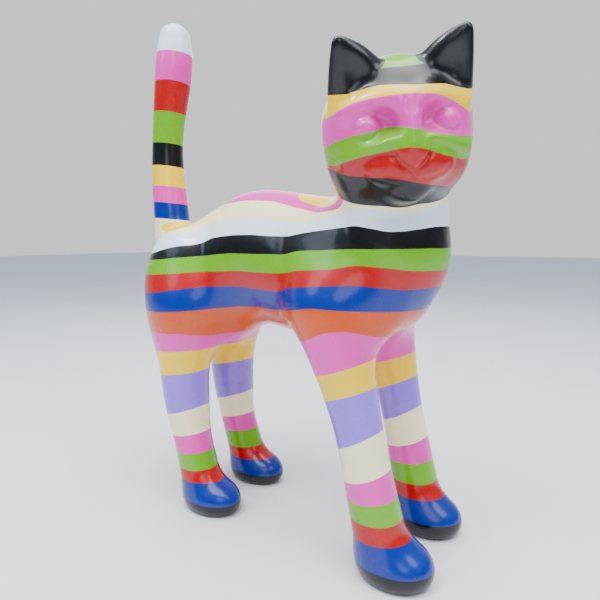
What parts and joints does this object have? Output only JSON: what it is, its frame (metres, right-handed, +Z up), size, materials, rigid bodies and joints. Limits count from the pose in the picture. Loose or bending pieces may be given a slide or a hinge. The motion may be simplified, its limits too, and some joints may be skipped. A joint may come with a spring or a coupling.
{
  "type": "resin cat sculpture",
  "caption": "Standing cat sculpture cast in painted resin, with its tail raised and its head turned to one side.",
  "frame": {"origin": "on the floor, under the middle of the sculpture's bounding box", "axes": "+Z up, the cat's chest faces -Y, and +X is the cat's left"},
  "size_m": [0.2628, 0.541, 0.7573],
  "materials": {
    "painted_resin": "gloss"
  },
  "bodies": {
    "root": {"cat_sculpture": "painted_resin"}
  },
  "joints": []
}
